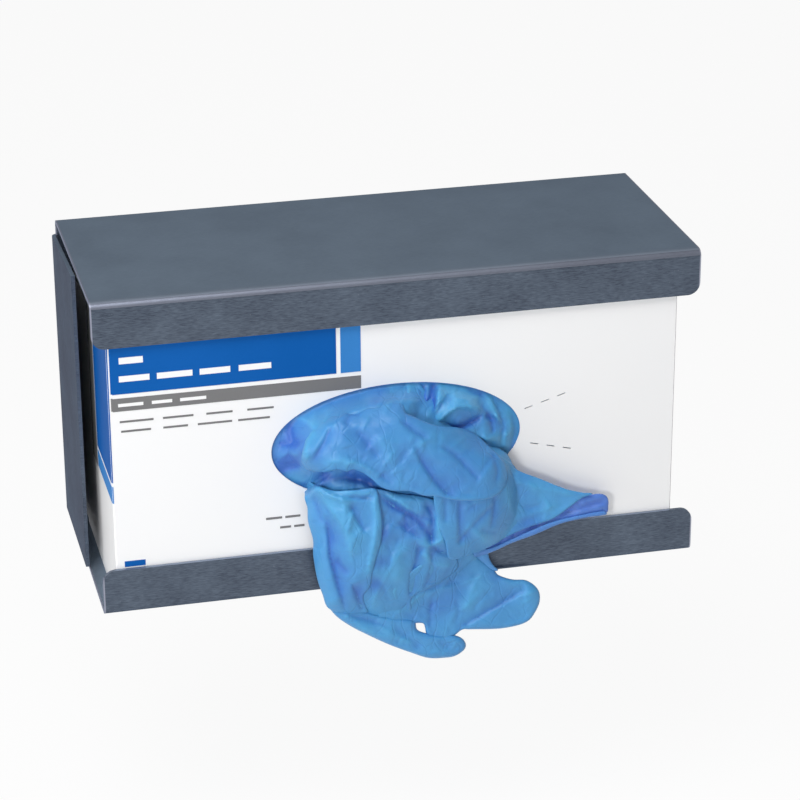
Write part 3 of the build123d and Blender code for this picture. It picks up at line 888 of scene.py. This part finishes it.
    # Middle of the hanging part
    add((
        (-14, -20.5), (-3, -23), (7, -25.5), (14, -29.5), (16.5, -36.5), (16, -45.5), (20.3, -54.5), (20, -59.3),
        (14.5, -63.8), (8, -66), (1.8, -69), (1.5, -75.5), (-1, -79.6), (-9.5, -79.2), (-18, -74), (-23, -67),
        (-21, -50), (-18, -33),
    ), 2.2, (
        pleat(-1.2, 0.8, (-1, -31), (-1, -43)),
        pleat(-2.0, 0.8, (3.7, -44), (3.7, -51.5), (1.5, -59), (0.7, -70)),
        pleat(-1.6, 0.8, (9.5, -47.5), (9.5, -57.5), (6, -66)),
        fold(-2.2, 1.2, (-12, -22), (-5, -28.5), (2, -33), (7, -39), (11, -46)),
        pleat(1.8, 1.1, (-9, -22.5), (-1, -28.5), (6, -34)),
        fold(-1.9, 1.0, (7, -27), (10.5, -36), (10, -47), (17.5, -52)),
        pleat(1.5, 0.8, (3.5, -45.5), (10, -47), (16, -45)),
        fold(-1.0, 0.9, (1.8, -68.5), (-2.5, -76)),
        fold(0.8, 3.0, (-3, -43), (-4.5, -62)),
        fold(1.5, 0.9, (13.5, -30), (12.5, -38), (16, -48)),
        pleat(-1.2, 0.9, (-4, -35), (1, -40), (6, -43.5)),
        pleat(-1.0, 0.9, (0, -27), (4, -33), (11, -37)),
        pleat(0.9, 1.0, (5, -50), (12, -56), (19, -57)),
    ), 61, edge_radius=0.7, rough=0.95, stretch=1.8, turn=0.15, shade=(
        (-9.5, -40, 3.5, 0.5), (-11, -52, 3.5, 0.45), (-13, -62, 3.5, 0.5), (6, -38, 6, 0.25), (-4, -28, 5, 0.25),
        (8, -31, 4, 0.25),
    ))
    # Left column of the hanging part, with its rounded right edge
    add((
        (-39.5, -13.8), (-35.5, -16), (-29, -18.8), (-21, -19.3), (-12.8, -19.8), (-11.2, -26), (-10.2, -33.5),
        (-10.6, -42), (-12, -47.5), (-14, -55), (-15.3, -62), (-18, -66), (-17, -70.5), (-16.5, -73.5),
        (-25.5, -72.8), (-32.3, -69.5), (-34.6, -63), (-36.6, -56), (-38, -46), (-38, -39), (-39.8, -31), (-40, -25),
        (-41, -20),
    ), 3.4, (
        pleat(1.9, 1.2, (-39, -14.5), (-31.5, -20.5), (-23, -25)),
        pleat(-1.9, 1.0, (-23, -25), (-20, -32.5), (-17, -38)),
        pleat(1.8, 1.4, (-38.5, -15.5), (-32, -25), (-25, -36), (-22.5, -48)),
        pleat(-2.4, 1.0, (-33, -29), (-31.7, -38), (-31.5, -45.5), (-30, -53), (-27.5, -64), (-25.5, -72)),
        fold(1.5, 0.9, (-30, -17.5), (-20, -20.8), (-13, -21.5)),
        pleat(-1.4, 0.9, (-34, -17.5), (-24, -22), (-13, -24)),
        fold(-1.3, 0.9, (-37.5, -20), (-34, -32)),
        pleat(-1.8, 0.9, (-22.5, -60), (-20.5, -66.5), (-18.5, -72)),
        fold(-1.0, 1.2, (-29.5, -48.5), (-24, -56)),
        pleat(1.6, 1.8, (-13.8, -22), (-12.8, -36), (-14.5, -48), (-17, -58)),
        fold(-1.2, 0.8, (-37, -17.5), (-33, -24), (-30.5, -30)),
    ), 71, edge_radius=1.1, rough=0.7, stretch=2.4, turn=0.0, shade=((-29, -40, 3, 0.2), (-20, -64, 4, 0.25)))
    # Right flap over the cuff, and the narrow sheet beside it
    add((
        (36, -12), (41, -13.7), (44.5, -18), (46.5, -22), (48.6, -27), (48.8, -31.5), (47.5, -35), (42.5, -36),
        (37.5, -30.5), (34.5, -21.5),
    ), 3.7, (pleat(-0.8, 0.8, (42, -15), (45.5, -22), (46.5, -31)),), 79, edge_radius=0.7, rough=0.3)
    add((
        (11, -23.5), (21.5, -23.5), (33.5, -21), (39.5, -14.5), (41.3, -17.5), (43.2, -21.5), (45, -26.5),
        (45.4, -31.5), (47.8, -36.3), (47.2, -38.2), (41, -45.7), (36.5, -49.2), (28, -52.2), (17.5, -54),
        (15.3, -46), (12.8, -38.5),
    ), 4.4, (
        pleat(-1.6, 0.8, (20.7, -28.5), (21.3, -48)),
        pleat(-1.6, 0.8, (35.3, -28), (35, -35.5), (33.8, -42.5)),
        pleat(-1.3, 0.8, (35, -32), (27.5, -39.5), (20, -47.5)),
        fold(-0.9, 0.8, (30, -42.5), (37, -44.7)),
        fold(-1.0, 0.9, (15, -27), (15.7, -37.5)),
        fold(0.9, 1.2, (24, -40), (33, -48)),
        pleat(0.7, 1.0, (22, -35), (26, -31), (33, -29)),
        fold(0.8, 1.0, (40, -24), (42, -33), (44, -38)),
    ), 83, edge_radius=0.6, rough=0.45, stretch=1.4, turn=-0.5, shade=((26, -30.5, 9, 0.25),))
    # Wide rounded flap in front of everything, sunk into the body towards the left
    def flap_lift(flat):
        x, z = flat.T
        low = smooth_step(8, -3, z)
        free = smooth_step(20, 5, z) * (low + (1 - low) * smooth_step(-42, -24, x))
        return (4.6 + 1.2 * smooth_step(-20, 10, x)) * free - 1.7 * (1 - free)

    add((
        *mouth_arc(84, 134, count=8), (-38.5, 12), (-40.2, 4), (-42, -3.5), (-41, -7), (-38.5, -9.3), (-33, -10.5),
        (-27.5, -10), (-24, -11.2), (-21.5, -10.6), (-18, -12.3), (-14.5, -15.3), (-11, -19), (-6, -21.5),
        (1, -22.4), (6.5, -25), (11.5, -25.8), (17, -27.7), (21.5, -28.8), (27, -29.4), (33.5, -29.2), (37, -27.7),
        (39.7, -24.8), (40.8, -20.5), (40, -15.5), (37.5, -11.5), (32, -5.5), (27, -0.6), (20.5, 2.6), (14, 3.8),
        (8.5, 5.8), (2.5, 9.3), (-0.6, 11.3), (-1.3, 16.5), (-0.5, 22),
    ), flap_lift, (
        pleat(-1.7, 0.9, (3, -3.5), (6.5, -11.5), (11, -19), (14, -23), (19, -27.5)),
        pleat(-1.4, 0.9, (13, -4.5), (19, -9), (24.5, -15.5), (29, -21)),
        pleat(-1.3, 0.9, (-3, 8.5), (3, 2.5), (8.5, -1)),
        pleat(-1.9, 0.9, (-30, 8.5), (-33.5, 1.5), (-38.5, -5.5)),
        fold(-0.9, 1.5, (-20, 6), (-14, -2.5), (-11, -7)),
        fold(1.8, 1.0, (-36.5, 8.5), (-40, 0.5), (-39.5, -5.5)),
        fold(-1.0, 0.9, (34, -8.5), (36.7, -17.5), (35.5, -23)),
        fold(-1.0, 1.1, (-20.5, 16.5), (-24.5, 8.5)),
        pleat(-1.0, 0.9, (-30.5, 18.5), (-22, 13.5), (-18.5, 11.5)),
        fold(0.9, 2.6, (-12, 3), (-7, -6), (-5, -15)),
        fold(1.0, 2.2, (-34, -7), (-26, -6.5), (-18, -8.5), (-11, -14)),
        pleat(-0.9, 0.9, (-24, -5), (-14, -11), (-6, -19)),
    ), 97, edge_radius=0.75, rough=0.75, stretch=2.4, turn=0.75, shade=(
        (-40, 20, 8, 0.25), (-20, 24, 9, 0.25), (-1, 22, 5, 0.3), (-12, 4, 22, 0.22), (22, -14, 16, 0.2),
    ))
    return sheets


def next_glove_sheets(settings):
    """The glove behind, drawn up into the right of the mouth."""
    outline = (
        *mouth_arc(92, -38), (33, -13), (24, -7), (15, -3), (5, 0), (-3, 7), (-5, 16),
    )

    def depth(flat, gap):
        out = smooth_step(0.0, 0.3, inside_mouth(flat))
        crown = np.interp(flat[:, 1], (-14, -4, 6, 22), (-104.5, -105.5, -105.5, -104))
        return TUCKED_Y + (crown - TUCKED_Y) * out

    folds = (
        pleat(2.0, 1.0, (1, 24), (0, 17), (-0.3, 12.5), (2, 8)),
        pleat(-2.4, 1.1, (5.5, 24), (6, 16.5), (2.5, 8)),
        pleat(1.6, 0.8, (8, 23), (7.5, 15), (5, 7)),
        fold(-4.0, 1.5, (11, 24), (9.5, 15), (7.5, 5)),
        pleat(2.4, 1.0, (13.5, 23), (12, 14), (9.5, 4)),
        pleat(-1.9, 0.9, (17, 17), (12, 11), (9.5, 5)),
        pleat(2.6, 1.0, (11, 4), (15, 8), (19.5, 11), (24.5, 11), (29.5, 9)),
        fold(-3.0, 1.3, (11, 4), (19, 2.5), (26, 4.5), (31, 7.5)),
        pleat(1.6, 1.0, (18.5, 21), (19, 15.5), (22.5, 14), (26, 13.5), (29.5, 15.5)),
        fold(-1.8, 0.9, (24, 20), (26, 17), (31, 15)),
        pleat(2.4, 1.0, (30, 16.5), (34.5, 9.5), (37, 3), (39.5, -0.5), (39, -9)),
        fold(-2.0, 1.0, (28, 13), (33, 6), (35, -2)),
        fold(-1.9, 0.9, (31, 7), (35.5, 4), (38.5, 1.5)),
        pleat(-2.2, 0.9, (34, 15), (37, 6), (40, -2.5)),
        fold(1.6, 0.9, (39.5, 11), (41.5, 4), (42, -4)),
        fold(-1.4, 0.9, (42, 6), (43.5, -1), (42.5, -8)),
        pleat(1.6, 1.2, (16, 0), (26, -1), (37, -6)),
    )
    return [film_sheet(
        outline, depth, folds, settings, 103, edge_radius=0.7, rough=1.3, stretch=1.3, turn=0.4,
        shade=((9, 13, 3.5, 0.8), (20, 3.5, 6, 0.5), (30, 17, 4, 0.4), (40, 0, 3, 0.35), (43, -8, 3, 0.5)),
    )]


# ---- Operators ----

class DISPENSER_OT_holder(bpy.types.Operator):
    """Blackened brushed steel on the folded holder"""
    bl_idname = "dispenser.holder"
    bl_label = "Steel holder"

    def execute(self, context):
        dress_node("holder", blackened_steel(context.scene.dispenser_holder))
        return {"FINISHED"}


class DISPENSER_OT_carton(bpy.types.Operator):
    """Coated board and offset inks on the carton"""
    bl_idname = "dispenser.carton"
    bl_label = "Printed carton"

    def execute(self, context):
        settings = context.scene.dispenser_carton
        dress_node("carton", coated_board(settings))
        for ink, tint in (
            ("dark_blue", settings.dark_ink), ("light_blue", settings.light_ink), ("grey", settings.grey_ink)
        ):
            dress_node("print_" + ink, offset_ink("offset_ink_" + ink, tint))
        return {"FINISHED"}


# Printed lines: name, left X, middle Z, length, height in mm, words, seed, ink
BOARD_Y = -98.2
INK_Y = -98.32
PRINTED_LINES = (
    ("line_count", -112.0, 40.6, 13.5, 2.6, 1, 2, "white"),
    ("line_title", -112.0, 33.2, 62.0, 2.4, 4, 5, "white"),
    ("line_band", -112.0, 22.5, 36.0, 1.3, 3, 4, "white"),
    ("line_small_upper", -112.0, 15.6, 64.0, 0.8, 4, 7, "grey"),
    ("line_small_lower", -112.0, 11.6, 61.0, 0.8, 4, 9, "grey"),
    ("line_side_upper", -55.5, -31.5, 15.0, 0.9, 2, 3, "grey"),
    ("line_side_lower", -50.0, -35.8, 11.0, 0.9, 2, 6, "grey"),
    ("line_word", -113.0, -44.4, 12.0, 2.4, 1, 8, "dark"),
)

# Ink that runs over the carton's front left fold: name, bottom Z, top Z, first and last angle in
# degrees from the front round to the end, and ink
FOLD_MIDDLE = (-112.9, -96.6)
FOLD_RADIUS = 1.6
FOLD_INK = 0.12
FOLD_INKS = (
    ("fold_dark_upper", 27.25, 58.25, 0, 90, "dark"),
    ("fold_dark_lower", -9.75, 27.25, 45, 90, "dark"),
    ("fold_light", -18.45, -11.45, 45, 90, "light"),
    ("fold_grey", 20.25, 25.55, 0, 45, "grey"),
)
# The material and the slot of each ink
INKS = {
    "white": ("coated_carton_board", "carton_board"),
    "grey": ("offset_ink_grey", "ink_grey"),
    "dark": ("offset_ink_dark_blue", "ink_dark_blue"),
    "light": ("offset_ink_light_blue", "ink_light_blue"),
}


def fold_ink(name, bottom, top, start, end, material, slot):
    """A strip of ink round the carton's rounded edge, as a thin closed shell."""
    turns = np.radians(np.linspace(start, end, 9))
    section = [
        (FOLD_MIDDLE[0] - radius * np.sin(t), FOLD_MIDDLE[1] - radius * np.cos(t))
        for radius, run in ((FOLD_RADIUS, turns), (FOLD_RADIUS + FOLD_INK, turns[::-1])) for t in run
    ]
    count = len(section)
    points = [(x, y, z) for z in (bottom, top) for x, y in section]
    faces = [(i, i + count, (i + 1) % count + count, (i + 1) % count) for i in range(count)]
    last = count - 1
    for k in range(len(turns) - 1):
        cap = (k, k + 1, last - k - 1, last - k)
        faces += [cap, [index + count for index in cap[::-1]]]
    new_piece(name, points, faces, material, smooth=False)


class DISPENSER_OT_printed_lines(bpy.types.Operator):
    """Plain bars where a printed carton carries its lines of text"""
    bl_idname = "dispenser.printed_lines"
    bl_label = "Printed lines"

    def execute(self, context):
        relief = context.scene.dispenser_carton.line_relief / MM
        inks = {ink: (bpy.data.materials[name], slot) for ink, (name, slot) in INKS.items()}
        tree, identifiers = printed_line_group()
        for name, left, middle, line_length, height, words, seed, ink in PRINTED_LINES:
            material, slot = inks[ink]
            under = INK_Y if ink == "white" else BOARD_Y
            # A bar is sunk a little, so that its rear lies in what is under it.
            run_group(
                name, tree, identifiers, slot, Start=(left * MM, (under - relief * 0.45) * MM, middle * MM),
                Length=line_length * MM, Height=height * MM, Relief=relief * MM, Words=words, Seed=seed,
                Material=material,
            )
        for name, bottom, top, start, end, ink in FOLD_INKS:
            fold_ink(name, bottom, top, start, end, *inks[ink])
        return {"FINISHED"}


class DISPENSER_OT_glove_stack(bpy.types.Operator):
    """The folded gloves that fill the carton"""
    bl_idname = "dispenser.glove_stack"
    bl_label = "Folded gloves"

    def execute(self, context):
        settings = context.scene.dispenser_gloves
        low, high = (Vector(corner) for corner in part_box("glove_stack"))
        tree, identifiers = folded_layers_group()
        piece = run_group(
            "glove_stack_layers", tree, identifiers, "nitrile", Layers=settings.stack_layers,
            Size=high - low, Middle=(low + high) / 2, Unevenness=0.0009, Seed=3,
            Material=nitrile_film(settings),
        )
        piece.data.shade_smooth()
        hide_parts("glove_stack")
        return {"FINISHED"}


class DISPENSER_OT_pulled_glove(bpy.types.Operator):
    """The crumpled glove that hangs out of the mouth, in layers of film"""
    bl_idname = "dispenser.pulled_glove"
    bl_label = "Pulled glove"

    def execute(self, context):
        settings = context.scene.dispenser_gloves
        piece = join_sheets("pulled_glove_film", pulled_glove_sheets(settings), settings)
        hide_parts("pulled_glove")
        return {"FINISHED"}


class DISPENSER_OT_next_glove(bpy.types.Operator):
    """The next glove, crumpled in the right of the mouth"""
    bl_idname = "dispenser.next_glove"
    bl_label = "Next glove"

    def execute(self, context):
        settings = context.scene.dispenser_gloves
        piece = join_sheets("next_glove_film", next_glove_sheets(settings), settings)
        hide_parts("next_glove")
        return {"FINISHED"}


class DISPENSER_OT_stage(bpy.types.Operator):
    """Pale floor, soft studio light and the camera"""
    bl_idname = "dispenser.stage"
    bl_label = "Stage"

    def execute(self, context):
        settings = context.scene.dispenser_stage
        make_floor(settings)
        make_lights(settings)
        make_camera()
        context.scene.view_settings.view_transform = "Standard"
        return {"FINISHED"}


# ---- Stage ----

def mixed_shaders(tree, share, first, second):
    return add_node(tree, "ShaderNodeMixShader", inputs=((0, share), (1, first), (2, second))).outputs[0]


def make_floor(settings):
    """A pale floor that takes soft shadows, and looks almost white to the camera."""
    material, tree = new_material("studio_floor")
    rays = add_node(tree, "ShaderNodeLightPath").outputs
    seen = math(tree, "ADD", rays["Is Camera Ray"], rays["Is Glossy Ray"], clamp=True)
    seen = math(tree, "ADD", seen, rays["Is Transmission Ray"], clamp=True)
    matt = add_node(tree, "ShaderNodeBsdfDiffuse", inputs=(("Color", rgba(settings.floor)),)).outputs[0]
    white = add_node(tree, "ShaderNodeEmission", inputs=(("Strength", 1.0),)).outputs[0]
    white_share = 0.92
    shown = mixed_shaders(tree, math(tree, "MULTIPLY", seen, white_share), matt, white)
    add_node(tree, "ShaderNodeOutputMaterial", inputs=(("Surface", shown),))
    reach, level = 12.0, -settings.floor_depth
    corners = [(x * reach, y * reach, level) for x, y in ((-1, -1), (1, -1), (1, 1), (-1, 1))]
    mesh = bpy.data.meshes.new("studio_floor")
    mesh.from_pydata(corners, [], [(0, 1, 2, 3)])
    mesh.materials.append(material)
    floor = new_object("studio_floor", mesh)


def add_lamp(name, place, target, size, watts):
    lamp = bpy.data.lights.new(name, "AREA")
    lamp.shape = "DISK"
    lamp.size = size
    lamp.energy = watts
    holder = new_object(name, lamp)
    holder.location = place
    holder.rotation_euler = (Vector(target) - Vector(place)).to_track_quat("-Z", "Y").to_euler()


def make_lights(settings):
    """An even light that looks white to the camera, and three disk lamps."""
    world = bpy.data.worlds.new("studio_world")
    world.use_nodes = True
    tree = world.node_tree
    tree.nodes.clear()
    rays = add_node(tree, "ShaderNodeLightPath").outputs
    seen = math(tree, "ADD", rays["Is Camera Ray"], rays["Is Transmission Ray"], clamp=True)
    even, white = (
        add_node(
            tree, "ShaderNodeBackground", inputs=(("Color", (1.0, 1.0, 1.0, 1.0)), ("Strength", strength))
        ).outputs[0]
        for strength in (settings.world_strength, 1.0)
    )
    shown = mixed_shaders(tree, seen, even, white)
    add_node(tree, "ShaderNodeOutputWorld", inputs=(("Surface", shown),))
    bpy.context.scene.world = world
    middle = (0.0, -0.05, 0.0)
    add_lamp("key_lamp", (-0.35, -0.55, 1.0), middle, 0.7, settings.key_power)
    add_lamp("fill_lamp", (-0.8, -1.35, 0.35), middle, 0.3, settings.fill_power)
    add_lamp("side_lamp", (-1.25, -0.4, 0.1), middle, 0.5, settings.side_power)


def make_camera():
    """The eye stands a little left of the middle and looks down on the front."""
    camera = bpy.data.cameras.new("camera")
    camera.lens = 130.39
    camera.sensor_width = 36.0
    camera.clip_start = 0.01
    right = Vector((0.97173865, -0.23600787, -0.00492792))
    up = Vector((0.09639802, 0.37768037, 0.92090442))
    back = Vector((-0.21547952, -0.89535346, 0.38975731))
    turn = Matrix((right, up, back)).transposed().to_4x4()
    holder = new_object("camera", camera)
    holder.matrix_world = Matrix.Translation((-0.24346, -1.10623, 0.45210)) @ turn
    bpy.context.scene.camera = holder


# ---- Panel ----

OPERATORS = (
    DISPENSER_OT_holder,
    DISPENSER_OT_carton,
    DISPENSER_OT_printed_lines,
    DISPENSER_OT_glove_stack,
    DISPENSER_OT_pulled_glove,
    DISPENSER_OT_next_glove,
    DISPENSER_OT_stage,
)
SETTINGS = {
    "dispenser_holder": HolderSettings,
    "dispenser_carton": CartonSettings,
    "dispenser_gloves": GloveSettings,
    "dispenser_stage": StageSettings,
}


class DISPENSER_PT_panel(bpy.types.Panel):
    """Builds the dispenser's pieces one by one"""
    bl_idname = "DISPENSER_PT_panel"
    bl_label = "Glove dispenser"
    bl_space_type = "VIEW_3D"
    bl_region_type = "UI"
    bl_category = "Dispenser"

    def draw(self, context):
        layout = self.layout
        for operator in OPERATORS:
            layout.operator(operator.bl_idname)
        for key, group in SETTINGS.items():
            box = layout.box()
            settings = getattr(context.scene, key)
            for name in group.__annotations__:
                box.prop(settings, name)


def register():
    for group in SETTINGS.values():
        bpy.utils.register_class(group)
    for key, group in SETTINGS.items():
        setattr(bpy.types.Scene, key, PointerProperty(type=group))
    for operator in OPERATORS:
        bpy.utils.register_class(operator)
    bpy.utils.register_class(DISPENSER_PT_panel)


def unregister():
    bpy.utils.unregister_class(DISPENSER_PT_panel)
    for operator in reversed(OPERATORS):
        bpy.utils.unregister_class(operator)
    for key in SETTINGS:
        delattr(bpy.types.Scene, key)
    for group in SETTINGS.values():
        bpy.utils.unregister_class(group)


def main():
    register()
    for operator in OPERATORS:
        family, name = operator.bl_idname.split(".")
        getattr(getattr(bpy.ops, family), name)()


if __name__ == "__main__":
    main()
